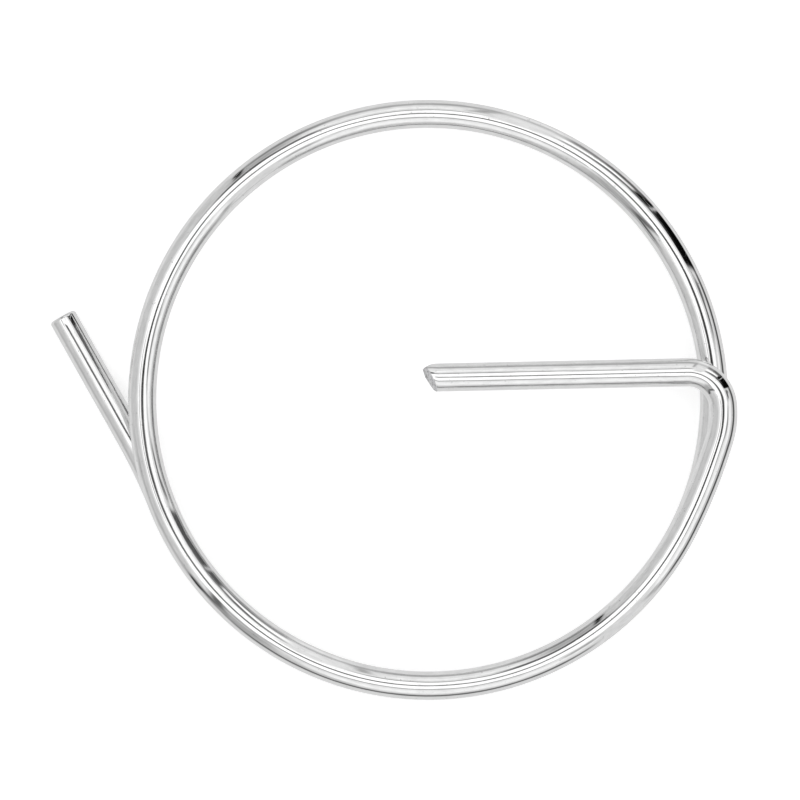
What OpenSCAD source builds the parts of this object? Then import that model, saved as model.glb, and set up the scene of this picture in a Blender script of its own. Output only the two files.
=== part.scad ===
// Wire lock ring: one length of round spring wire, wound to a ring of about one and a half turns.
// The upper end is bent inwards to a straight locking leg that reaches the ring's axis.
// The lower end leaves the ring as a short straight pull tail.
// Millimetres. The ring's axis is Z, the ring lies on z = 0, and the locking leg points along -X.

/* [Wire] */
// Diameter of the round wire
wire_d = 3; // [2:0.1:4]

/* [Ring] */
// Inside diameter of the ring, for the tube or shaft that it goes round
ring_id = 58; // [50:1:90]
// Gap between the two turns where they lie on each other
turn_gap = 0.1; // [0.1:0.05:0.5]
// How much larger the centreline radius is in the lower half of the coil
turn_open = 0.1; // [0:0.05:0.6]
// Longest of the equal arcs, in degrees, that make up the coil
arc_limit = 90; // [60:5:90]

/* [Locking leg] */
// Distance of the leg's centreline from the ring's axis, seen from above
leg_offset = 2.3; // [0:0.1:5]
// Angle between the leg and the X axis, seen from above
leg_slope = 1.2; // [0:0.1:5]
// How far the leg's cut end stops before the ring's axis
leg_short = 0.2; // [0:0.05:12]
// Centreline radius of the sharp bend at the leg's root
leg_bend_r = 3.8; // [3.5:0.05:6]
// Centreline radius of the wider bend that eases the sharp one
ease_bend_r = 9.7; // [8:0.1:14]
// Angle of that wider bend
ease_turn = 22.4; // [18:0.2:26]
// Angle of the long, almost straight bend that runs from there into the ring
run_turn = 9.5; // [8:0.1:12]
// Angle round the ring, below the X axis, at which the wire joins it
join_angle = 26.4; // [25:0.2:29]

/* [Pull tail] */
// Direction in which the tail points, seen from above
tail_angle = 119.5; // [110:0.5:130]
// How far the tail's line passes inside the circle of the lower turn's centreline
tail_inset = 0.85; // [0.3:0.05:3]
// Centreline radius of the gentle bend that turns the wire out of the ring
tail_bend_r = 60; // [10:5:90]
// Length of the tail's straight part
tail_len = 14.75; // [5:0.05:40]

/* [Cut ends] */
// Angle of the leg's sheared end, seen from above, away from square
shear_slant = 25; // [0:0.5:45]
// Angle by which that end also faces up
shear_rise = 13; // [0:1:20]
// Radius of the edge that the shear rolled over, seen from above
shear_roll_r = 2.05; // [1.6:0.05:3]
// How far before the middle of the cut the rolled edge begins
shear_roll_back = 0.75; // [0.2:0.05:2]
// Radius of the rounded edge of the tail's end
tail_edge_r = 0.35; // [0.1:0.05:0.8]

/* [Hidden] */
$fn = 64;
wire_r = wire_d / 2;
ring_r = (ring_id + wire_d) / 2;
lower_r = ring_r + turn_open;
pitch = wire_d + turn_gap;

// The wire's stretches meet face to face, each turned against the one before. An angle is
// therefore nudged, by less than 0.1 degree, to one whose sine and cosine are both true at
// six digits, and the stretches still meet exactly where rotations are kept to six digits.
// The sine of a small roll is true as it is, so only its cosine is rounded.
function six_digits(x) =
    let (unit = pow(10, floor(log(abs(x))) - 5))
    x == 0 ? 0 : round(x / unit) * unit;
function untruth(angle) =
    abs(pow(six_digits(cos(angle)), 2) + pow(six_digits(sin(angle)), 2) - 1);
function small_roll(angle) = acos(round(cos(angle) * 1e6) / 1e6);
function true_turn(angle) =
    let (
        near = round(cos(angle) * 1e6),
        choices = [for (step = [-200:200]) acos((near + step) / 1e6)],
        misses = [for (choice = choices) untruth(choice)]
    )
    choices[search(min(misses), misses)[0]];

// The tail's bend is tangent to the ring's circle and to the tail's line
tail_turn = true_turn(acos(1 - tail_inset / (lower_r + tail_bend_r)));
leave_angle = tail_angle + 90 - tail_turn;

// The coil: equal arcs, each tipped so that the wire runs evenly downhill. Where two arcs
// meet, the plane of bending rolls about the wire, once for each of them.
coil_angle = 720 - join_angle - leave_angle;
arc_count = ceil(coil_angle / arc_limit);
arc_angle = true_turn(coil_angle / arc_count);
half_arc = arc_angle / 2;
helix_tip = asin(pitch * arc_angle / 360 / (2 * ring_r * sin(half_arc)));
arc_roll = small_roll(atan(tan(helix_tip) * sin(half_arc)));
arc_tip = atan(tan(arc_roll) / sin(half_arc));
downhill = asin(cos(half_arc) * sin(arc_tip));
function radius_of(arc) = arc > arc_count / 2 ? ring_r : lower_r;
function coil_drop(arcs) =
    arcs == 0 ? 0 : 2 * radius_of(arcs) * sin(half_arc) * sin(arc_tip) + coil_drop(arcs - 1);

// The leg: three bends turn the wire from the ring's tangent into the leg's line. The radius of
// the long one is what brings that line to its distance from the ring's axis.
start_angle = 720 - leave_angle - arc_angle * arc_count;
long_turn = true_turn(run_turn);
wide_turn = true_turn(ease_turn);
sharp_turn = true_turn(90 + leg_slope + start_angle - long_turn - wide_turn);
leg_swing = long_turn + wide_turn + sharp_turn - 90;
wide_swing = long_turn - leg_swing;
sharp_swing = wide_swing + wide_turn;
ease_gap = ease_bend_r - leg_bend_r;
run_bend_r = (leg_offset - leg_bend_r + ring_r * sin(leg_swing) + ease_bend_r * sin(wide_swing)
    - ease_gap * sin(sharp_swing)) / (sin(leg_swing) + sin(wide_swing));
leg_len = (ring_r - run_bend_r) * cos(leg_swing) + (run_bend_r - ease_bend_r) * cos(wide_swing)
    + ease_gap * cos(sharp_swing) - leg_short;

// Rolls of the wire before the first of the leg's bends and before the tail's bend, so that
// the leg and the tail come out level
leg_level = small_roll(asin(tan(downhill) / tan(90 - leg_swing)));
tail_level = small_roll(asin(tan(downhill) / tan(tail_turn)));

// Height of the wire's centre where it joins the ring
coil_end_z = wire_r + tail_bend_r * sin(downhill) * tan(tail_turn / 2);
join_z = coil_end_z + coil_drop(arc_count);

// The wire is laid out as on a forming machine. It runs along +Y from the origin, and each
// step draws its stretch and places what follows, its children, at the end of that stretch.

// Feeds straight wire
module feed(length) {
    rotate([-90, 0, 0])
        cylinder(d = wire_d, h = length);
    translate([0, length, 0])
        children();
}

// Bends the wire towards +X. The arc is cut off by the plane in which the next stretch starts.
module bend(radius, angle) {
    reach = radius + wire_d;
    translate([radius, 0, 0]) {
        difference() {
            rotate_extrude(angle = 180)
                translate([radius, 0])
                    circle(d = wire_d);
            rotate([0, 0, -angle])
                translate([-reach, 0, -wire_d])
                    cube([2 * reach, reach, 2 * wire_d]);
        }
        rotate([0, 0, -angle])
            translate([-radius, 0, 0])
                children();
    }
}

// Turns the plane of what follows about the wire: +X dips as the angle grows
module roll(angle) {
    rotate([0, angle, 0])
        children();
}

// Winds a number of ring arcs, each rolled a little against the one before
module coil(arcs) {
    roll(arc_roll)
        bend(radius_of(arcs), arc_angle)
            roll(arc_roll)
                if (arcs > 1)
                    coil(arcs - 1)
                        children();
                else
                    children();
}

// Solid that the shear took off the end of the locking leg
module shear_waste() {
    block = 4 * wire_d;
    rotate([0, 0, -shear_slant])
        rotate([shear_rise, 0, 0])
            translate([-block / 2, 0, -block / 2])
                cube(block);
    difference() {
        translate([-wire_d, -shear_roll_back, -wire_d])
            cube([shear_roll_r + wire_r, block, 2 * wire_d]);
        translate([shear_roll_r - wire_r, -shear_roll_back, -block])
            cylinder(r = shear_roll_r, h = 2 * block);
    }
}

// Straight leg with its slanted end, which lies across the cross hole's axis
module locking_leg() {
    spare = 2 * wire_d;
    difference() {
        feed(leg_len + spare);
        translate([0, leg_len, 0])
            shear_waste();
    }
}

// Straight tail, cut square, with a rounded edge
module pull_tail() {
    feed(tail_len - tail_edge_r)
        rotate([-90, 0, 0])
            rotate_extrude()
                intersection() {
                    square([wire_r, tail_edge_r]);
                    union() {
                        square([wire_r - tail_edge_r, tail_edge_r]);
                        translate([wire_r - tail_edge_r, 0])
                            circle(r = tail_edge_r);
                    }
                }
}

module lock_ring() {
    color("silver")
        rotate([0, 0, 180 - start_angle])
            translate([-ring_r, 0, join_z])
                rotate([-downhill, 0, 0]) {
                    coil(arc_count)
                        mirror([1, 0, 0])
                            roll(-tail_level)
                                bend(tail_bend_r, tail_turn)
                                    pull_tail();
                    mirror([0, 1, 0])
                        roll(-leg_level)
                            bend(run_bend_r, long_turn)
                                bend(ease_bend_r, wide_turn)
                                    bend(leg_bend_r, sharp_turn)
                                        locking_leg();
                }
}

lock_ring();
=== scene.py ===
"""Looks of a wire lock ring: its finely modelled wire, bright finishes, light tent and camera.

Sizes are in millimetres and angles in degrees unless a name says otherwise. Meshes are in metres,
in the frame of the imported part: the ring's axis is Z, it lies on z = 0, the leg points along -X.
"""

from __future__ import annotations

import logging
import math
from dataclasses import dataclass, field
from enum import Enum
from typing import Sequence

import bpy
import numpy as np
from mathutils import Matrix, Vector


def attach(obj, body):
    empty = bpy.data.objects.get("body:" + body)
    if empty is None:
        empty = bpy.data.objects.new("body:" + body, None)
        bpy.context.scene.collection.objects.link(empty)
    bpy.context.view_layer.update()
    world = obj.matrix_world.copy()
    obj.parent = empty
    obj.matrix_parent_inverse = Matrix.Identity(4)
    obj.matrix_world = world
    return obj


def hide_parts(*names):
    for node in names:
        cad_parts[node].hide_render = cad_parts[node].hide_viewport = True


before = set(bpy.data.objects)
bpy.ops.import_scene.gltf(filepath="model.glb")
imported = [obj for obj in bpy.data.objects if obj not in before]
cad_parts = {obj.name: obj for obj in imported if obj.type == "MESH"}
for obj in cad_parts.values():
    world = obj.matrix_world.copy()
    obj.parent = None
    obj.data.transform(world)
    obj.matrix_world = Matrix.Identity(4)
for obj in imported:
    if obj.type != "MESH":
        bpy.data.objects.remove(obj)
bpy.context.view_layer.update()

LOG = logging.getLogger("lock_ring")
MM = 0.001
NODE = "lock_ring"
BODY = "root"
METAL_SHARE = 0.87
WELD = 1e-7
COURSE = "wire_course"


def deselect_all() -> None:
    """Leaves nothing selected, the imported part's own nodes included."""
    if bpy.context.object is not None and bpy.context.object.mode != "OBJECT":
        bpy.ops.object.mode_set(mode="OBJECT")
    bpy.ops.object.select_all(action="DESELECT")


def make_active(piece: bpy.types.Object) -> None:
    """Selects one object alone and makes it the active one.

    Args:
        piece: The object that the next operators act on.
    """
    deselect_all()
    piece.select_set(True)
    bpy.context.view_layer.objects.active = piece


def apply_modifier(piece: bpy.types.Object, kind: str, **settings: object) -> None:
    """Adds a modifier, sets it and applies it.

    Args:
        piece: The object that gets it.
        kind: Blender's name of the modifier's type.
        **settings: Values of the modifier's own properties.
    """
    make_active(piece)
    modifier = piece.modifiers.new(kind.lower(), kind)
    for name, value in settings.items():
        setattr(modifier, name, value)
    bpy.ops.object.modifier_apply(modifier=modifier.name)


def select_faces_near(piece: bpy.types.Object, place: Vector, reach: float) -> None:
    """Enters edit mode with only the faces near a place selected.

    Args:
        piece: The mesh object.
        place: The place, in metres.
        reach: Greatest distance of a face's centre from it.
    """
    make_active(piece)
    bpy.ops.object.mode_set(mode="EDIT")
    bpy.ops.mesh.select_mode(type="FACE")
    bpy.ops.mesh.select_all(action="DESELECT")
    bpy.ops.object.mode_set(mode="OBJECT")
    for face in piece.data.polygons:
        face.select = (face.center - place).length < reach
    bpy.ops.object.mode_set(mode="EDIT")


def clean_normals(piece: bpy.types.Object) -> None:
    """Merges doubled vertices and turns all faces outwards.

    Args:
        piece: The mesh object to clean.
    """
    make_active(piece)
    bpy.ops.object.mode_set(mode="EDIT")
    bpy.ops.mesh.select_all(action="SELECT")
    bpy.ops.mesh.remove_doubles(threshold=WELD)
    bpy.ops.mesh.normals_make_consistent(inside=False)
    bpy.ops.object.mode_set(mode="OBJECT")


@dataclass
class NodeBoard:
    """Places and links the nodes of one material, world or group.

    Attributes:
        tree: The node tree that is filled.
    """

    tree: bpy.types.NodeTree

    def add(self, kind: str, *fed: object, **settings: object) -> bpy.types.Node:
        """Adds a node.

        Args:
            kind: Blender's name of the node's type.
            *fed: What its first inputs are fed, in order. None leaves an input alone.
            **settings: Values of the node's own properties.

        Returns:
            The new node.
        """
        node = self.tree.nodes.new(kind)
        for name, value in settings.items():
            setattr(node, name, value)
        for socket, value in zip(node.inputs, fed):
            if value is not None:
                self.feed(socket, value)
        return node

    def feed(self, socket: bpy.types.NodeSocket, value: object) -> None:
        """Links an output to a socket, or sets the socket to a plain value.

        Args:
            socket: The input that is fed.
            value: An output socket, a number or a tuple.
        """
        if isinstance(value, bpy.types.NodeSocket):
            self.tree.links.new(value, socket)
        else:
            socket.default_value = value

    def fill(self, node: bpy.types.Node, **values: object) -> bpy.types.Node:
        """Feeds the inputs of a node.

        Args:
            node: The node.
            **values: Its inputs by name, with an underscore for each space.

        Returns:
            The node.
        """
        for name, value in values.items():
            self.feed(node.inputs[name.replace("_", " ")], value)
        return node

    def math(self, operation: str, *values: object) -> bpy.types.NodeSocket:
        """Adds a Math node on output sockets or numbers, and gives its output."""
        return self.add("ShaderNodeMath", *values, operation=operation).outputs[0]

    def smooth_step(self, value: object, low: object, high: object,
                    start: float = 0.0, end: float = 1.0) -> bpy.types.NodeSocket:
        """Adds a Map Range node that eases from one value to another.

        Args:
            value: What is mapped.
            low: Where the easing starts.
            high: Where it ends.
            start: Result at and before low.
            end: Result at and after high.

        Returns:
            The eased value.
        """
        node = self.add("ShaderNodeMapRange", interpolation_type="SMOOTHSTEP")
        self.fill(node, Value=value, From_Min=low, From_Max=high, To_Min=start, To_Max=end)
        return node.outputs["Result"]

    def mix(self, factor: object, first: object, second: object) -> bpy.types.NodeSocket:
        """Adds a Mix node that goes from the first number to the second as factor grows."""
        return self.add("ShaderNodeMix", factor, None, first, second,
                        data_type="FLOAT").outputs[0]

    def noise(self, vector: bpy.types.NodeSocket, scale: Sequence[float], detail: float = 2.0,
              roughness: float = 0.5) -> bpy.types.NodeSocket:
        """Adds a noise texture on scaled coordinates.

        Args:
            vector: The coordinates.
            scale: What each coordinate is multiplied by.
            detail: The texture's detail.
            roughness: Its roughness.

        Returns:
            The noise, about 0 to 1.
        """
        mapping = self.fill(self.add("ShaderNodeMapping"), Vector=vector, Scale=scale)
        node = self.fill(self.add("ShaderNodeTexNoise"), Vector=mapping.outputs["Vector"],
                         Scale=1.0, Detail=detail, Roughness=roughness)
        return node.outputs["Fac"]

    def grey(self, tone: object) -> bpy.types.NodeSocket:
        """Adds a Combine Color node that makes a grey of a tone."""
        return self.add("ShaderNodeCombineColor", tone, tone, tone).outputs[0]

    def toned(self, colour: Sequence[float], tone: object) -> bpy.types.NodeSocket:
        """Adds a Mix node that multiplies a colour by a tone.

        Args:
            colour: Red, green and blue.
            tone: What it is multiplied by.

        Returns:
            The toned colour.
        """
        node = self.add("ShaderNodeMix", 1.0, data_type="RGBA", blend_type="MULTIPLY")
        self.feed(node.inputs[6], (*colour, 1.0))
        self.feed(node.inputs[7], self.grey(tone))
        return node.outputs[2]

    def bump(self, height: object, strength: float, distance: float) -> bpy.types.NodeSocket:
        """Adds a Bump node.

        Args:
            height: The height.
            strength: The node's strength.
            distance: Metres that a height of 1 stands for.

        Returns:
            The changed normal.
        """
        node = self.add("ShaderNodeBump")
        self.fill(node, Height=height, Strength=strength, Distance=distance)
        return node.outputs["Normal"]

    def place(self, group: bpy.types.NodeTree, **values: object) -> bpy.types.Node:
        """Places a node group and feeds its inputs by name, as fill does."""
        return self.fill(self.add("ShaderNodeGroup", node_tree=group), **values)


def new_group(name: str, inputs: dict[str, float | tuple], outputs: Sequence[str]) -> NodeBoard:
    """Starts a shader node group with named sockets.

    Args:
        name: The group's name.
        inputs: Input names with their default; a tuple makes a vector socket.
        outputs: Names of the number outputs.

    Returns:
        A board on the group's tree, with one input and one output node.
    """
    tree = bpy.data.node_groups.new(name, "ShaderNodeTree")
    for label, default in inputs.items():
        kind = "NodeSocketVector" if isinstance(default, tuple) else "NodeSocketFloat"
        socket = tree.interface.new_socket(label, in_out="INPUT", socket_type=kind)
        socket.default_value = default
    for label in outputs:
        tree.interface.new_socket(label, in_out="OUTPUT", socket_type="NodeSocketFloat")
    board = NodeBoard(tree)
    board.add("NodeGroupInput", name="given")
    board.add("NodeGroupOutput", name="made")
    return board


def new_material(name: str) -> tuple[bpy.types.Material, NodeBoard, bpy.types.Node]:
    """Starts a material.

    Args:
        name: The material's name.

    Returns:
        The material, a board on its nodes, and its Principled BSDF.
    """
    material = bpy.data.materials.new(name)
    material.use_nodes = True
    board = NodeBoard(material.node_tree)
    return material, board, material.node_tree.nodes["Principled BSDF"]


def about_z(angle: float) -> Matrix:
    """The rotation about Z by an angle in radians."""
    return Matrix.Rotation(angle, 4, "Z")


def about_y(angle: float) -> Matrix:
    """The rotation about Y by an angle in radians."""
    return Matrix.Rotation(angle, 4, "Y")


def shift(x: float = 0.0, y: float = 0.0, z: float = 0.0) -> Matrix:
    """The translation by x, y and z."""
    return Matrix.Translation((x, y, z))


def small_roll(angle: float) -> float:
    """The nearest angle to a small one whose cosine has six decimals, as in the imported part."""
    return math.acos(round(math.cos(angle), 6))


def true_turn(angle: float) -> float:
    """Nudges an angle to one whose sine and cosine are both true at six digits.

    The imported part's bends have such angles, so this piece has them too.

    Args:
        angle: The wanted angle in radians.

    Returns:
        The angle near it whose rounded sine and cosine fit together best.
    """
    near = round(math.cos(angle), 6)
    choices = [math.acos(near + step * 1e-6) for step in range(-200, 201)]
    return min(choices, key=lambda turn: abs(float(f"{math.cos(turn):.5e}") ** 2
                                             + float(f"{math.sin(turn):.5e}") ** 2 - 1))


@dataclass(frozen=True)
class Stretch:
    """One stretch of the wire: straight, or bent round a centre on its local X axis.

    Attributes:
        start: Frame at its start, in millimetres. The wire runs along +Y.
        length: Length along the wire.
        radius: Distance of the bend's centre along +X, negative for -X, 0 where it is straight.
        steps: Number of mesh rings along it.
        begins: Length of wire before it.
    """

    start: Matrix
    length: float
    radius: float
    steps: int
    begins: float

    def turn(self) -> float:
        """The bend's angle in radians, 0 where the wire is straight."""
        return self.length / abs(self.radius) if self.radius else 0.0

    def end(self) -> Matrix:
        """Follows the stretch.

        Returns:
            The frame at its end.
        """
        if not self.radius:
            return self.start @ shift(y=self.length)
        swing = -math.copysign(self.turn(), self.radius)
        return self.start @ shift(self.radius) @ about_z(swing) @ shift(-self.radius)

    def locate(self, points: np.ndarray) -> tuple[np.ndarray, np.ndarray, np.ndarray]:
        """Says where points lie along and round the wire.

        Args:
            points: Rows of x, y and z in millimetres.

        Returns:
            Length of wire before each point, and its two offsets across the wire.
        """
        inverse = np.array(self.start.inverted())
        local = points @ inverse[:3, :3].T + inverse[:3, 3]
        if not self.radius:
            return local[:, 1] + self.begins, local[:, 0], local[:, 2]
        side = math.copysign(1.0, self.radius)
        across = local[:, 0] - self.radius
        reach = np.hypot(across, local[:, 1])
        angle = np.arctan2(local[:, 1], -side * across)
        return angle * abs(self.radius) + self.begins, self.radius - side * reach, local[:, 2]


@dataclass
class WireForm:
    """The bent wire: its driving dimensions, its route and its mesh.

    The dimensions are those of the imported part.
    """

    wire_d: float = 3.0
    ring_id: float = 58.0
    turn_gap: float = 0.1
    turn_open: float = 0.1
    arc_limit: float = 90.0
    leg_offset: float = 2.3
    leg_slope: float = 1.2
    leg_short: float = 0.2
    leg_bend_r: float = 3.8
    ease_bend_r: float = 9.7
    ease_turn: float = 22.4
    run_turn: float = 9.5
    join_angle: float = 26.4
    tail_angle: float = 119.5
    tail_inset: float = 0.85
    tail_bend_r: float = 60.0
    tail_len: float = 14.75
    shear_slant: float = 25.0
    shear_rise: float = 13.0
    shear_roll_r: float = 2.05
    shear_roll_back: float = 0.75
    tail_edge_r: float = 0.35
    burr: float = 0.05
    sides: int = 64
    ring_step: float = 1.5
    leg_steps: int = 24
    bend_steps: tuple[int, int, int] = (44, 12, 8)
    tail_bend_steps: int = 10
    tail_steps: int = 12
    crease: float = 38.0
    stretches: list[Stretch] = field(default_factory=list)

    @property
    def wire_r(self) -> float:
        """Radius of the wire."""
        return self.wire_d / 2

    @property
    def ring_r(self) -> float:
        """Radius of the ring's centreline."""
        return (self.ring_id + self.wire_d) / 2

    @property
    def spare(self) -> float:
        """Extra wire at the leg's tip, which the shear takes off."""
        return 2 * self.wire_d

    def add_stretch(self, start: Matrix, length: float, radius: float, steps: int) -> Matrix:
        """Adds a stretch to the route.

        Args:
            start: Frame at its start.
            length: Its length.
            radius: Its bend's radius, signed, or 0.
            steps: Number of mesh rings along it.

        Returns:
            The frame at its end.
        """
        begins = sum(stretch.length for stretch in self.stretches)
        stretch = Stretch(start, length, radius, steps, begins)
        self.stretches.append(stretch)
        return stretch.end()

    def lay_out(self) -> None:
        """Works out the route from the leg's tip to the tail's, with its bends and small rolls."""
        lower_r = self.ring_r + self.turn_open
        tail_turn = true_turn(math.acos(1 - self.tail_inset / (lower_r + self.tail_bend_r)))
        leave = math.radians(self.tail_angle + 90) - tail_turn
        coil = math.radians(720 - self.join_angle) - leave
        arcs = math.ceil(math.degrees(coil) / self.arc_limit)
        half = true_turn(coil / arcs) / 2
        drop = (self.wire_d + self.turn_gap) * half / math.pi
        tip = math.asin(drop / (2 * self.ring_r * math.sin(half)))
        arc_roll = small_roll(math.atan(math.tan(tip) * math.sin(half)))
        tip = math.atan(math.tan(arc_roll) / math.sin(half))
        downhill = math.asin(math.cos(half) * math.sin(tip))
        radii = [self.ring_r if arc < arcs / 2 else lower_r for arc in range(arcs)]
        drop = 2 * sum(radii) * math.sin(half) * math.sin(tip)

        start = 4 * math.pi - leave - 2 * half * arcs
        long_turn = true_turn(math.radians(self.run_turn))
        wide_turn = true_turn(math.radians(self.ease_turn))
        sharp_turn = true_turn(math.radians(90 + self.leg_slope) + start - long_turn - wide_turn)
        swing = long_turn + wide_turn + sharp_turn - math.pi / 2
        wide_swing = long_turn - swing
        sharp_swing = wide_swing + wide_turn
        ease_gap = self.ease_bend_r - self.leg_bend_r
        run_bend_r = (self.leg_offset - self.leg_bend_r + self.ring_r * math.sin(swing)
                      + self.ease_bend_r * math.sin(wide_swing)
                      - ease_gap * math.sin(sharp_swing)) / (math.sin(swing)
                                                             + math.sin(wide_swing))
        leg_len = ((self.ring_r - run_bend_r) * math.cos(swing)
                   + (run_bend_r - self.ease_bend_r) * math.cos(wide_swing)
                   + ease_gap * math.cos(sharp_swing) - self.leg_short)
        leg_level = small_roll(math.asin(math.tan(downhill) * math.tan(swing)))
        tail_level = small_roll(math.asin(math.tan(downhill) / math.tan(tail_turn)))

        end_z = self.wire_r + self.tail_bend_r * math.sin(downhill) * math.tan(tail_turn / 2)
        join_z = end_z + drop
        join = (about_z(math.pi - start) @ shift(-self.ring_r, 0, join_z)
                @ Matrix.Rotation(-downhill, 4, "X"))
        bends = ((self.leg_bend_r, sharp_turn), (self.ease_bend_r, wide_turn),
                 (run_bend_r, long_turn))
        here = join @ about_y(-leg_level)
        for radius, turn in reversed(bends):
            here = here @ shift(radius) @ about_z(turn) @ shift(-radius)
        here = here @ shift(y=-leg_len - self.spare)

        here = self.add_stretch(here, leg_len + self.spare, 0, self.leg_steps)
        for (radius, turn), steps in zip(bends, self.bend_steps):
            here = self.add_stretch(here, radius * turn, radius, steps)
        here = here @ about_y(leg_level)
        rings = round(math.degrees(2 * half) / self.ring_step)
        for radius in radii:
            here = self.add_stretch(here @ about_y(arc_roll), 2 * half * radius, radius, rings)
            here = here @ about_y(arc_roll)
        here = self.add_stretch(here @ about_y(tail_level), self.tail_bend_r * tail_turn,
                                -self.tail_bend_r, self.tail_bend_steps)
        self.add_stretch(here, self.tail_len, 0, self.tail_steps)

    def start_ring(self) -> bpy.types.Object:
        """Adds the circle that the wire is drawn from, at the leg's spare end.

        Returns:
            The new object, in edit mode with the circle selected.
        """
        start = self.stretches[0].start
        along, inward, upward = (start.col[i].to_3d() for i in (1, 0, 2))
        turned = Matrix((inward, -upward, along)).transposed()
        deselect_all()
        bpy.ops.mesh.primitive_circle_add(
            vertices=self.sides, radius=self.wire_r * MM, fill_type="NGON",
            location=start.translation * MM, rotation=turned.to_euler())
        wire = bpy.context.object
        wire.name = "bright_wire"
        bpy.ops.object.transform_apply()
        bpy.ops.object.mode_set(mode="EDIT")
        bpy.ops.mesh.select_all(action="SELECT")
        return wire

    def draw_stretch(self, stretch: Stretch) -> None:
        """Extrudes the selected end along a straight stretch, or spins it round a bend.

        Args:
            stretch: The stretch.
        """
        if not stretch.radius:
            step = stretch.start.col[1].to_3d() * (stretch.length / stretch.steps * MM)
            for _ in range(stretch.steps):
                bpy.ops.mesh.extrude_region_move(TRANSFORM_OT_translate={"value": step})
            return
        centre = stretch.start @ Vector((stretch.radius, 0, 0))
        axis = stretch.start.col[2].to_3d() * math.copysign(1.0, stretch.radius)
        bpy.ops.mesh.spin(steps=stretch.steps, angle=stretch.turn(), center=centre * MM,
                          axis=axis, dupli=False, use_auto_merge=False)

    def draw_wire(self) -> bpy.types.Object:
        """Draws the whole wire as one tube and rounds the tail's edge.

        Returns:
            The closed tube, in object mode.
        """
        wire = self.start_ring()
        for stretch in self.stretches:
            self.draw_stretch(stretch)
        bpy.ops.mesh.bevel(offset=self.tail_edge_r * MM, segments=5, affect="EDGES")
        bpy.ops.object.mode_set(mode="OBJECT")
        return wire

    def tip_frame(self) -> Matrix:
        """The frame of the leg's cut: +Y points out of the tip, and the rolled edge is on -X."""
        return self.stretches[0].start @ shift(y=self.spare) @ Matrix.Diagonal((1, -1, 1, 1))

    def shear_normal(self) -> Vector:
        """Works out how the leg's cut lies.

        Returns:
            The direction that it faces.
        """
        tilt = about_z(math.radians(-self.shear_slant))
        rise = Matrix.Rotation(math.radians(self.shear_rise), 4, "X")
        return (self.tip_frame() @ tilt @ rise).col[1].to_3d().normalized()

    def tail_normal(self) -> Vector:
        """The direction that the tail's cut faces."""
        return self.stretches[-1].start.col[1].to_3d().normalized()

    def shear_tip(self, wire: bpy.types.Object) -> None:
        """Cuts the leg's end on its slant and rolls the edge where the blade came in.

        Args:
            wire: The closed tube.
        """
        tip = self.tip_frame()
        turned = self.stretches[0].start.to_3x3().to_euler()
        select_faces_near(wire, tip.translation * MM, 2.5 * self.wire_d * MM)
        bpy.ops.mesh.bisect(plane_co=tip.translation * MM, plane_no=self.shear_normal(),
                            use_fill=True, clear_outer=True)
        bpy.ops.object.mode_set(mode="OBJECT")

        roll_centre = tip @ Vector((self.shear_roll_r - self.wire_r, -self.shear_roll_back, 0))
        reach = 4 * self.wire_d
        deselect_all()
        bpy.ops.mesh.primitive_cylinder_add(vertices=160, radius=self.shear_roll_r * MM,
                                            depth=2 * reach * MM, location=roll_centre * MM,
                                            rotation=turned)
        blade = bpy.context.object
        blade.name = "roll_blade"
        width = self.shear_roll_r + self.wire_r
        corner = tip @ Vector((width / 2 - self.wire_d, reach / 2 - self.shear_roll_back, 0))
        deselect_all()
        bpy.ops.mesh.primitive_cube_add(size=MM, location=corner * MM, rotation=turned,
                                        scale=(width, reach, 2 * self.wire_d))
        block = bpy.context.object
        block.name = "corner_block"
        for cutter in (blade, block):
            make_active(cutter)
            bpy.ops.object.transform_apply()
        apply_modifier(block, "BOOLEAN", operation="DIFFERENCE", object=blade, solver="EXACT")
        apply_modifier(wire, "BOOLEAN", operation="DIFFERENCE", object=block, solver="EXACT")
        for used in (blade, block):
            bpy.data.objects.remove(used, do_unlink=True)

    def note_course(self, wire: bpy.types.Object) -> None:
        """Stores on each vertex how far along and where round the wire it is.

        The attribute holds the millimetres of wire before the point, then the two offsets
        across the wire as shares of its radius. The finishes follow the wire with it.

        Args:
            wire: The finished mesh.
        """
        mesh = wire.data
        flat = np.empty(len(mesh.vertices) * 3)
        mesh.vertices.foreach_get("co", flat)
        points = flat.reshape(-1, 3) / MM
        nearest = np.full(len(points), np.inf)
        course = np.zeros((len(points), 3))
        for stretch in self.stretches:
            along, inward, upward = stretch.locate(points)
            beyond = np.maximum(0, np.maximum(stretch.begins - along,
                                              along - stretch.begins - stretch.length))
            miss = np.hypot(np.hypot(inward, upward), 4 * beyond)
            better = miss < nearest - 1e-6
            nearest[better] = miss[better]
            rows = np.stack([along, inward / self.wire_r, upward / self.wire_r], axis=1)
            course[better] = rows[better]
        attribute = mesh.attributes.new(COURSE, "FLOAT_VECTOR", "POINT")
        attribute.data.foreach_set("vector", course.ravel())

    def mark_cuts(self, wire: bpy.types.Object) -> None:
        """Gives the two cut faces the second material slot.

        Args:
            wire: The finished mesh, with both materials in its slots.
        """
        tail_end = self.stretches[-1].end().translation * MM
        leg_end = self.tip_frame().translation * MM
        for face in wire.data.polygons:
            for centre, normal in ((leg_end, self.shear_normal()), (tail_end, self.tail_normal())):
                close = (face.center - centre).length < self.wire_d * MM
                if close and face.normal.dot(normal) > 0.98:
                    face.material_index = 1

    def worn_places(self) -> tuple[WornPlace, ...]:
        """Lists the places that are scuffed more than the rest.

        Returns:
            The tail's side next to the ring, and a place on the ring's inner side.
        """
        tail_start = self.stretches[-1].begins
        tail_end = tail_start + self.tail_len
        return (WornPlace(begins=tail_start, ends=tail_end - 2.0, side=(0.42, 0.90),
                          wear=0.34, film=0.17),
                WornPlace(begins=110.5, ends=124.5, side=(0.62, 0.78), wear=0.22,
                          film=0.12))

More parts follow.
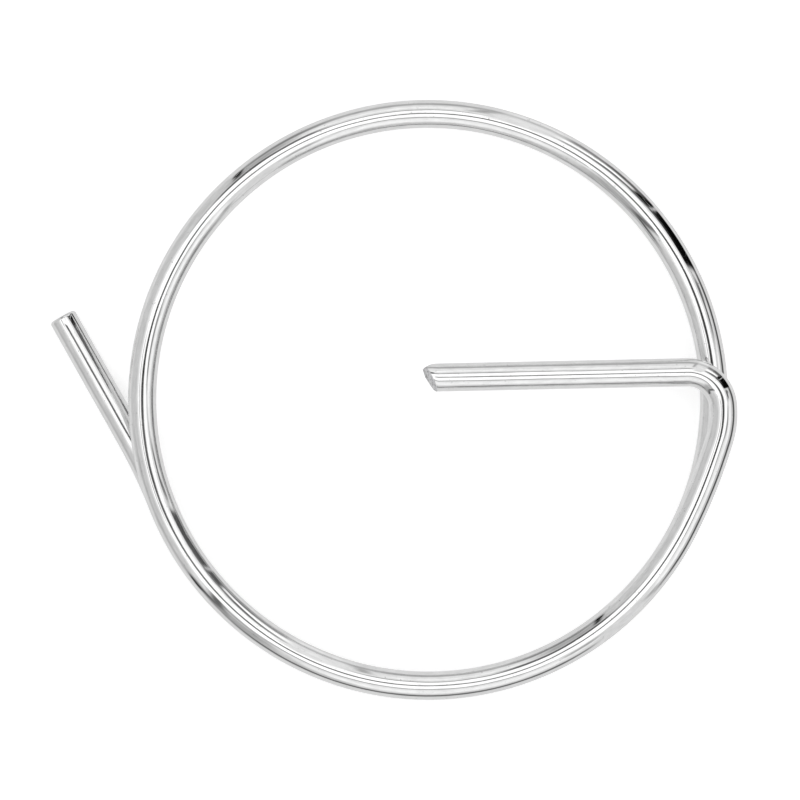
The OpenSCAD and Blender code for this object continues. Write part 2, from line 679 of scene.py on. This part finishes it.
    def build(self) -> bpy.types.Object:
        """Models the wire.

        Returns:
            The finished mesh object, at the origin.
        """
        self.lay_out()
        wire = self.draw_wire()
        self.shear_tip(wire)
        clean_normals(wire)
        apply_modifier(wire, "BEVEL", width=self.burr * MM, segments=2, limit_method="ANGLE",
                       angle_limit=math.radians(self.crease))
        self.note_course(wire)
        make_active(wire)
        bpy.ops.object.shade_smooth_by_angle(angle=math.radians(self.crease))
        return wire


@dataclass(frozen=True)
class DrawMarks:
    """Draw lines along the wire, the plating's ripple and bloom, specks and scuffs."""

    name: str = "draw_marks"
    outputs: tuple[str, ...] = ("Lines", "Ripple", "Bloom", "Specks", "Scuffs")
    line_scale: tuple[float, float, float] = (0.02, 9.0, 9.0)
    ripple_scale: tuple[float, float, float] = (0.16, 1.1, 1.1)
    bloom_scale: tuple[float, float, float] = (0.7, 3.6, 3.6)
    speck_scale: tuple[float, float, float] = (3.52, 5.72, 5.72)
    streak_scale: tuple[float, float, float] = (0.45, 17.0, 17.0)
    speck_edge: tuple[float, float] = (0.67, 0.73)
    scuff_limit: float = 0.72
    worn_limit: float = 0.42
    scuff_edge: float = 0.05

    def group(self) -> bpy.types.NodeTree:
        """Builds the group, or finds it if it is built.

        Returns:
            The group's tree, with the inputs Course and Wear and the outputs Lines, Ripple,
            Bloom, Specks and Scuffs. More of the wire is scuffed as Wear goes from 0 to 1.
        """
        if self.name in bpy.data.node_groups:
            return bpy.data.node_groups[self.name]
        board = new_group(self.name, {"Course": (0.0, 0.0, 0.0), "Wear": 0.0}, self.outputs)
        course, wear = (board.tree.nodes["given"].outputs[name] for name in ("Course", "Wear"))
        made = board.tree.nodes["made"]
        lines = board.noise(course, self.line_scale, detail=4.0, roughness=0.65)
        ripple = board.noise(course, self.ripple_scale, detail=1.0)
        bloom = board.noise(course, self.bloom_scale, detail=4.0, roughness=0.6)
        specks = board.smooth_step(board.noise(course, self.speck_scale, detail=3.0),
                                   *self.speck_edge)
        streaks = board.noise(course, self.streak_scale, detail=3.0, roughness=0.65)
        limit = board.mix(wear, self.scuff_limit, self.worn_limit)
        scuffs = board.smooth_step(streaks, limit, board.math("ADD", limit, self.scuff_edge))
        for name, mark in zip(self.outputs, (lines, ripple, bloom, specks, scuffs)):
            board.feed(made.inputs[name], mark)
        return board.tree


@dataclass(frozen=True)
class WornPlace:
    """A stretch of one side of the wire that is scuffed more than the rest.

    Attributes:
        begins: Millimetres of wire before it.
        ends: Millimetres of wire before its end.
        side: Where its middle faces: its share towards the bends' centre, and upwards.
        wear: How scuffed it is, 0 to 1.
        film: How much of the mirror a dull film hides, 0 to 1.
        entry: Length over which it begins.
        way_out: Length over which it ends.
        flank: How nearly a point faces that side where it starts, and where it is full.
    """

    begins: float
    ends: float
    side: tuple[float, float]
    wear: float
    film: float
    entry: float = 1.5
    way_out: float = 1.0
    flank: tuple[float, float] = (0.6, 0.9)


@dataclass(frozen=True)
class BrightWire:
    """Bright plated spring wire: a near mirror with fine marks and a few worn places."""

    name: str = "bright_plated_wire"
    colour: tuple[float, float, float] = (0.905, 0.905, 0.905)
    smoothest: float = 0.03
    roughest: float = 0.085
    rough_edge: tuple[float, float] = (0.35, 0.75)
    line_depth: float = 0.0012
    ripple_depth: float = 0.025
    least_tone: float = 0.70
    line_tone: float = 0.18
    bloom_tone: float = 0.34
    speck_shade: float = 0.25
    speck_roughness: float = 0.15
    scuff_roughness: float = 0.42
    wear_anywhere: float = 0.15
    worn: tuple[WornPlace, ...] = ()

    def wear(self, board: NodeBoard, course: bpy.types.NodeSocket) -> tuple[object, object]:
        """Works out how worn each point is.

        Args:
            board: The material's board.
            course: Where the point is along and across the wire.

        Returns:
            The wear and the dull film, 0 to 1, each an output socket or a number.
        """
        along, inward, upward = board.add("ShaderNodeSeparateXYZ", course).outputs
        wear, film = self.wear_anywhere, 0.0
        for place in self.worn:
            entry = board.smooth_step(along, place.begins - place.entry, place.begins)
            way_out = board.smooth_step(along, place.ends, place.ends + place.way_out, 1.0, 0.0)
            mask = board.math("MULTIPLY", entry, way_out)
            facing = board.math("ADD", board.math("MULTIPLY", inward, place.side[0]),
                                board.math("MULTIPLY", upward, place.side[1]))
            mask = board.math("MULTIPLY", mask, board.smooth_step(facing, *place.flank))
            wear = board.math("MAXIMUM", wear, board.math("MULTIPLY", mask, place.wear))
            film = board.math("MAXIMUM", film, board.math("MULTIPLY", mask, place.film))
        return wear, film

    def material(self) -> bpy.types.Material:
        """Makes the finish.

        Returns:
            Its material.
        """
        material, board, shader = new_material(self.name)
        course = board.add("ShaderNodeAttribute", attribute_name=COURSE).outputs["Vector"]
        wear, film = self.wear(board, course)
        marks = board.place(DrawMarks().group(), Course=course, Wear=wear)
        lines, ripple, bloom, specks, scuffs = (marks.outputs[name] for name in DrawMarks.outputs)

        tone = board.math("MULTIPLY_ADD", lines, self.line_tone, self.least_tone)
        tone = board.math("MULTIPLY_ADD", bloom, self.bloom_tone, tone)
        tone = board.math("MULTIPLY", tone,
                          board.math("MULTIPLY_ADD", specks, -self.speck_shade, 1.0))

        rough = board.smooth_step(lines, *self.rough_edge, self.smoothest, self.roughest)
        rough = board.mix(scuffs, rough, self.scuff_roughness)
        rough = board.math("MULTIPLY_ADD", specks, self.speck_roughness, rough)

        height = board.math("MULTIPLY", lines, self.line_depth)
        height = board.math("MULTIPLY_ADD", ripple, self.ripple_depth, height)
        board.fill(shader, Base_Color=board.toned(self.colour, tone), Roughness=rough,
                   Metallic=board.math("SUBTRACT", 1.0, film),
                   Normal=board.bump(height, 1.0, MM))
        return material


@dataclass(frozen=True)
class ShearedEnd:
    """Bare cut end of the wire: paler and duller, with the blade's drag marks and dark crumbs."""

    name: str = "sheared_wire_end"
    colour: tuple[float, float, float] = (0.70, 0.70, 0.71)
    roughness: float = 0.34
    speck_roughness: float = 0.2
    drag_scale: tuple[float, float, float] = (6000.0, 1500.0, 600.0)
    crumb_scale: tuple[float, float, float] = (3200.0, 3200.0, 3200.0)
    crumb_edge: tuple[float, float] = (0.54, 0.64)
    least_tone: float = 0.70
    drag_tone: float = 0.60
    crumb_shade: float = 0.6
    bump_share: float = 0.6
    depth: float = 0.05

    def material(self) -> bpy.types.Material:
        """Makes the finish.

        Returns:
            Its material.
        """
        material, board, shader = new_material(self.name)
        place = board.add("ShaderNodeTexCoord").outputs["Object"]
        course = board.add("ShaderNodeAttribute", attribute_name=COURSE).outputs["Vector"]
        marks = board.place(DrawMarks().group(), Course=course)
        drag = board.noise(place, self.drag_scale, detail=3.0, roughness=0.6)
        crumbs = board.smooth_step(board.noise(place, self.crumb_scale), *self.crumb_edge)

        tone = board.math("MULTIPLY_ADD", drag, self.drag_tone, self.least_tone)
        tone = board.math("MULTIPLY", tone,
                          board.math("MULTIPLY_ADD", crumbs, -self.crumb_shade, 1.0))
        rough = board.math("MULTIPLY_ADD", marks.outputs["Specks"], self.speck_roughness,
                           self.roughness)
        bump = board.bump(board.math("SUBTRACT", drag, crumbs), self.bump_share, self.depth * MM)
        board.fill(shader, Base_Color=board.toned(self.colour, tone), Metallic=1.0,
                   Roughness=rough, Normal=bump)
        return material


class Cloth(Enum):
    """Lightness, as a display shows it, of what the bright wire mirrors."""

    LIT = 1.03
    SOFT_LIT = 0.95
    PALE = 0.88
    MILKY = 0.83
    DULL = 0.76
    GREY = 0.65
    STEEL = 0.52
    DIM = 0.39
    SLATE = 0.31
    DARK = 0.19
    BLACK = 0.02

    def radiance(self) -> float:
        """The linear light that shows at this lightness in metal that mirrors METAL_SHARE."""
        return ((self.value + 0.055) / 1.055) ** 2.4 / METAL_SHARE


@dataclass(frozen=True)
class TentPatch:
    """One soft-edged patch of the light tent, by direction from the object.

    Attributes:
        name: What it is.
        azimuth: Direction of its middle, from +X towards +Y.
        half_width: Half its width.
        top: Angle of its upper edge from straight up.
        bottom: Angle of its lower edge from straight up.
        cloth: What it is made of.
        side_soft: Softness of its sides.
        end_soft: Softness of its upper and lower edges.
        slant: Degrees that its middle moves sideways for each degree downwards.
        cover: How much it hides what is behind.
    """

    name: str
    azimuth: float
    half_width: float
    top: float
    bottom: float
    cloth: Cloth
    side_soft: float = 2.0
    end_soft: float = 4.0
    slant: float = 0.0
    cover: float = 1.0


@dataclass
class LightTent:
    """A square white tent round the object, as its bright wire mirrors it, and the lamps.

    The patches are laid one over another, in order.
    """

    patches: tuple[TentPatch, ...] = (
        TentPatch("back rail", 96, 20, 27.5, 33.5, Cloth.STEEL, 6, 2),
        TentPatch("back rail, left part", 117, 9, 28, 42, Cloth.DIM, 4, 2.5),
        TentPatch("back rail at the corner", 128, 7, 31, 45, Cloth.SLATE, 3, 2.5),
        TentPatch("back rail past the corner", 139, 5, 33, 43, Cloth.GREY, 3, 3),
        TentPatch("back panel, lit", 98, 15, 45, 57, Cloth.SOFT_LIT, 5, 4),
        TentPatch("back panel, shaded part", 124, 9, 46, 72, Cloth.GREY, 5, 5),
        TentPatch("back table edge", 100, 24, 78, 96, Cloth.GREY, 8, 5),
        TentPatch("back table edge, left part", 119, 9, 73, 92, Cloth.STEEL, 5, 4),
        TentPatch("left rail", 182, 19, 19, 23, Cloth.STEEL, 5, 2),
        TentPatch("left panel", 174, 42, 44, 101, Cloth.DULL, 6, 7),
        TentPatch("left table edge", 203, 15, 76, 96, Cloth.GREY, 6, 5, 0.0, 0.6),
        TentPatch("front rail, left part", 227, 8, 34, 44, Cloth.GREY, 4, 3),
        TentPatch("front panel, left part", 230, 9, 46, 100, Cloth.GREY, 5, 8),
        TentPatch("front panel, middle", 246, 9, 56, 100, Cloth.DULL, 6, 8),
        TentPatch("front panel, lit", 272, 27, 43, 66, Cloth.SOFT_LIT, 8, 5),
        TentPatch("front rail", 262, 32, 27.5, 33, Cloth.STEEL, 8, 2),
        TentPatch("front rail, right part", 301, 5, 37, 50, Cloth.GREY, 3, 3),
        TentPatch("front table edge", 266, 38, 83, 100, Cloth.DIM, 8, 5),
        TentPatch("right rail", 338, 13, 27, 33, Cloth.STEEL, 5, 2.5),
        TentPatch("right rail, middle", 352, 8, 30, 40, Cloth.STEEL, 4, 3),
        TentPatch("right rail, far part", 6, 7, 40, 49, Cloth.GREY, 4, 3),
        TentPatch("right rail, far end", 17, 6, 46, 60, Cloth.DIM, 4, 4),
        TentPatch("right panel, lit", 341, 26, 44, 64, Cloth.SOFT_LIT, 6, 4),
        TentPatch("right panel, shaded part", 348, 27, 69, 82, Cloth.DULL, 8, 5),
        TentPatch("right table edge", 354, 33, 82, 101, Cloth.SLATE, 6, 4),
        TentPatch("stand", 34.3, 9.2, 44, 101, Cloth.BLACK, 1.0, 3),
        TentPatch("stand, right part", 41.4, 1.9, 41, 101, Cloth.BLACK, 0.6, 3),
        TentPatch("gap in the stand", 38.9, 0.4, 40, 104, Cloth.DULL, 0.4, 3),
        TentPatch("knob beside the stand", 20.6, 2.2, 57, 68, Cloth.DIM, 2.0, 4),
        TentPatch("beside the stand, lit", 54.5, 8.5, 51, 66, Cloth.LIT, 2.5, 4),
        TentPatch("beside the stand, below", 54, 10, 74, 98, Cloth.STEEL, 3, 5),
        TentPatch("foot of the stand", 47, 5, 76, 100, Cloth.DIM, 2, 4),
        TentPatch("rail above the stand", 48.5, 8.5, 38, 56, Cloth.DIM, 3, 3, -0.9),
        TentPatch("opening at the back", 67, 5.8, 17, 125, Cloth.PALE, 2.0, 6),
        TentPatch("foot of that opening", 67, 6.5, 77, 98, Cloth.DULL, 3, 5),
        TentPatch("edge of that opening", 77, 1.6, 46, 92, Cloth.GREY, 1.5, 6, -0.06),
        TentPatch("back left corner", 128.6, 1.0, 52, 88, Cloth.DARK, 0.8, 6),
        TentPatch("clip at the back left corner", 129, 1.2, 71, 84, Cloth.BLACK, 0.8, 4),
        TentPatch("front left corner, shade", 220, 5, 64, 92, Cloth.STEEL, 3, 6),
        TentPatch("front left corner, upper", 222, 2.2, 28, 66, Cloth.DIM, 1.5, 4, 0.06),
        TentPatch("front left corner, lower", 220, 1.4, 68, 86, Cloth.DARK, 1.0, 5, -0.35),
        TentPatch("front left corner, foot", 217.4, 1.8, 78, 96, Cloth.DARK, 0.8, 5),
        TentPatch("opening in front", 311, 7.2, 34, 108, Cloth.MILKY, 2.5, 6),
        TentPatch("front right corner", 318, 1.6, 64, 84, Cloth.GREY, 1.5, 6),
    )
    lens_turn: float = 8.0
    lens_reach: tuple[float, float] = (13.0, 3.9)
    lens_edge: tuple[float, float] = (0.55, 1.25)
    fold_depth: float = 0.15
    fold_scale: tuple[float, float, float] = (0.045, 0.22, 1.0)
    roof_edge: tuple[float, float] = (27.0, 36.0)
    wall_foot: tuple[float, float] = (66.0, 84.0)
    table_rim: tuple[float, float] = (92.0, 103.0)

    def patch_group(self) -> bpy.types.NodeTree:
        """Builds the group that masks one patch.

        Returns:
            The group's tree, with a Mask output.
        """
        inputs = {name: 0.0 for name in ("Azimuth", "Polar", "Middle", "Half Width", "Top",
                                         "Bottom", "Side Soft", "End Soft", "Slant")}
        board = new_group("tent_patch", inputs, ("Mask",))
        given = board.tree.nodes["given"].outputs
        centre = board.math("MULTIPLY", board.math("ADD", given["Top"], given["Bottom"]), 0.5)
        drift = board.math("MULTIPLY", board.math("SUBTRACT", given["Polar"], centre),
                           given["Slant"])
        away = board.math("SUBTRACT", given["Azimuth"], given["Middle"])
        away = board.math("SUBTRACT", away, drift)
        away = board.math("WRAP", away, 180.0, -180.0)
        away = board.math("ABSOLUTE", away)
        side, top, bottom = ([board.math(way, given[edge], given[soft])
                              for way in ("SUBTRACT", "ADD")]
                             for edge, soft in (("Half Width", "Side Soft"), ("Top", "End Soft"),
                                                ("Bottom", "End Soft")))
        across = board.smooth_step(away, *side, 1.0, 0.0)
        above = board.smooth_step(given["Polar"], *top)
        below = board.smooth_step(given["Polar"], *bottom, 1.0, 0.0)
        mask = board.math("MULTIPLY", across, board.math("MULTIPLY", above, below))
        board.feed(board.tree.nodes["made"].inputs["Mask"], mask)
        return board.tree

    def lens_mask(self, board: NodeBoard, polar: bpy.types.NodeSocket,
                  azimuth: bpy.types.NodeSocket) -> bpy.types.NodeSocket:
        """Masks the dark lens overhead, which is longer one way than the other.

        Args:
            board: The world's board.
            polar: Angle from straight up, in degrees.
            azimuth: Direction round the vertical, in degrees.

        Returns:
            The mask, 1 in the lens.
        """
        turned = board.math("RADIANS", board.math("SUBTRACT", azimuth, self.lens_turn))
        shares = [board.math("DIVIDE", board.math("MULTIPLY", polar, board.math(way, turned)), reach)
                  for way, reach in zip(("COSINE", "SINE"), self.lens_reach)]
        squares = [board.math("MULTIPLY", share, share) for share in shares]
        away = board.math("SQRT", board.math("ADD", *squares))
        return board.smooth_step(away, *self.lens_edge, 1.0, 0.0)

    def light_world(self) -> None:
        """Makes the world: white to the camera, and the tent to everything else."""
        world = bpy.data.worlds.new("light_tent")
        bpy.context.scene.world = world
        world.use_nodes = True
        board = NodeBoard(world.node_tree)
        world.node_tree.nodes.clear()
        direction = board.add("ShaderNodeTexCoord").outputs["Generated"]
        east, north, up = board.add("ShaderNodeSeparateXYZ", direction).outputs
        polar = board.math("DEGREES", board.math("ARCCOSINE", up))
        azimuth = board.math("DEGREES", board.math("ARCTAN2", north, east))

        light = board.smooth_step(polar, *self.roof_edge, Cloth.LIT.radiance(),
                                  Cloth.PALE.radiance())
        for edge, cloth in ((self.wall_foot, Cloth.DULL), (self.table_rim, Cloth.MILKY)):
            light = board.mix(board.smooth_step(polar, *edge), light, cloth.radiance())
        group = self.patch_group()
        for patch in self.patches:
            node = board.place(group, Azimuth=azimuth, Polar=polar, Middle=patch.azimuth,
                               Half_Width=patch.half_width, Top=patch.top, Bottom=patch.bottom,
                               Side_Soft=patch.side_soft, End_Soft=patch.end_soft,
                               Slant=patch.slant)
            node.label = patch.name
            cover = board.math("MULTIPLY", node.outputs["Mask"], patch.cover)
            light = board.mix(cover, light, patch.cloth.radiance())
        place = board.add("ShaderNodeCombineXYZ", azimuth, polar).outputs[0]
        folds = board.noise(place, self.fold_scale, detail=4.0, roughness=0.65)
        folds = board.math("MULTIPLY_ADD", folds, 2 * self.fold_depth, 1 - self.fold_depth)
        light = board.math("MULTIPLY", light, folds)
        light = board.mix(self.lens_mask(board, polar, azimuth), light, Cloth.DARK.radiance())

        seen = board.add("ShaderNodeLightPath").outputs["Is Camera Ray"]
        background = board.fill(board.add("ShaderNodeBackground"), Color=(1.0, 1.0, 1.0, 1.0),
                                Strength=board.mix(seen, light, 1.0))
        board.add("ShaderNodeOutputWorld", background.outputs[0])

    def hang_lamp(self, name: str, place: tuple[float, float, float], size: float,
                  power: float) -> None:
        """Hangs a soft square lamp that faces the object and isn't mirrored in it.

        Args:
            name: The lamp's name.
            place: Where it hangs, in metres.
            size: Its side in metres.
            power: Its power in watts.
        """
        lamp = bpy.data.lights.new(name, "AREA")
        lamp.shape = "SQUARE"
        lamp.size = size
        lamp.energy = power
        carrier = bpy.data.objects.new(name, lamp)
        carrier.location = place
        carrier.rotation_euler = (-Vector(place)).to_track_quat("-Z", "Y").to_euler()
        carrier.visible_glossy = False
        bpy.context.scene.collection.objects.link(carrier)

    def build(self) -> None:
        """Makes the tent's world and hangs its two lamps."""
        self.light_world()
        self.hang_lamp("soft_lamp_left", place=(-0.5, 0.35, 0.8), size=0.6, power=0.6)
        self.hang_lamp("soft_lamp_right", place=(0.5, 0.2, 0.8), size=0.6, power=0.4)


@dataclass
class PaleFloor:
    """The plain pale table top that the ring lies on."""

    radius: float = 1500.0
    lip: float = 20.0
    lightness: float = 0.86
    fleck_scale: tuple[float, float, float] = (40.0, 40.0, 40.0)
    fleck_tone: float = 0.02
    roughness: float = 0.9
    camera_lift: float = 0.45

    def material(self) -> bpy.types.Material:
        """Makes the floor's finish: pale, and as white as the world to the camera.

        Returns:
            Its material.
        """
        material, board, shader = new_material("pale_floor")
        place = board.add("ShaderNodeTexCoord").outputs["Object"]
        fleck = board.noise(place, self.fleck_scale, detail=3.0)
        tone = board.math("MULTIPLY_ADD", fleck, self.fleck_tone, self.lightness)
        seen = board.add("ShaderNodeLightPath").outputs["Is Camera Ray"]
        board.fill(shader, Base_Color=board.grey(tone), Roughness=self.roughness,
                   Specular_IOR_Level=0.0, Emission_Color=(1.0, 1.0, 1.0, 1.0),
                   Emission_Strength=board.math("MULTIPLY", seen, self.camera_lift))
        return material

    def build(self) -> bpy.types.Object:
        """Models the top with its turned-down lip.

        Returns:
            The floor's object.
        """
        deselect_all()
        bpy.ops.mesh.primitive_circle_add(vertices=96, radius=self.radius * MM,
                                          fill_type="NGON", location=(0, 0, 0))
        floor = bpy.context.object
        floor.name = "pale_floor"
        bpy.ops.object.mode_set(mode="EDIT")
        bpy.ops.mesh.select_all(action="SELECT")
        bpy.ops.mesh.inset(thickness=self.lip * MM)
        bpy.ops.mesh.select_all(action="INVERT")
        bpy.ops.mesh.extrude_region_move(
            TRANSFORM_OT_translate={"value": (0, 0, -self.lip * MM)})
        bpy.ops.object.mode_set(mode="OBJECT")
        floor.data.materials.append(self.material())
        floor.visible_glossy = False
        return floor


@dataclass(frozen=True)
class PhotoCamera:
    """A long lens straight above the ring, framed as the photograph is."""

    frame_px: float = 800.0
    ring_px: tuple[float, float] = (428.0, 399.3)
    mm_per_px: float = 0.10676
    height: float = 600.0
    aim_height: float = 4.0
    sensor: float = 36.0

    def build(self) -> bpy.types.Object:
        """Sets the camera up and makes it the scene's own.

        Returns:
            The camera's object.
        """
        middle = self.frame_px / 2
        width = self.frame_px * self.mm_per_px
        camera = bpy.data.cameras.new("photo_camera")
        camera.sensor_width = self.sensor
        camera.lens = self.sensor * (self.height - self.aim_height) / width
        camera.clip_start = 10 * MM
        camera.clip_end = 10.0
        holder = bpy.data.objects.new("photo_camera", camera)
        holder.location = ((middle - self.ring_px[0]) * self.mm_per_px * MM,
                           (self.ring_px[1] - middle) * self.mm_per_px * MM,
                           self.height * MM)
        bpy.context.scene.collection.objects.link(holder)
        bpy.context.scene.camera = holder
        return holder


def main() -> None:
    """Builds the wire, its stage, its light and the camera, in that order."""
    logging.basicConfig(level=logging.INFO, format="%(name)s: %(message)s")
    bpy.context.scene.view_settings.view_transform = "Standard"

    form = WireForm()
    wire = form.build()
    for finish in (BrightWire(worn=form.worn_places()), ShearedEnd()):
        wire.data.materials.append(finish.material())
    form.mark_cuts(wire)
    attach(wire, BODY)
    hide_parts(NODE)
    LOG.info("%s: %d faces along %d stretches", wire.name, len(wire.data.polygons),
             len(form.stretches))

    floor = PaleFloor().build()
    LOG.info("%s: %d faces", floor.name, len(floor.data.polygons))
    tent = LightTent()
    tent.build()
    LOG.info("light tent: %d patches", len(tent.patches))
    camera = PhotoCamera().build()
    LOG.info("%s: lens %.0f mm", camera.name, camera.data.lens)


if __name__ == "__main__":
    main()
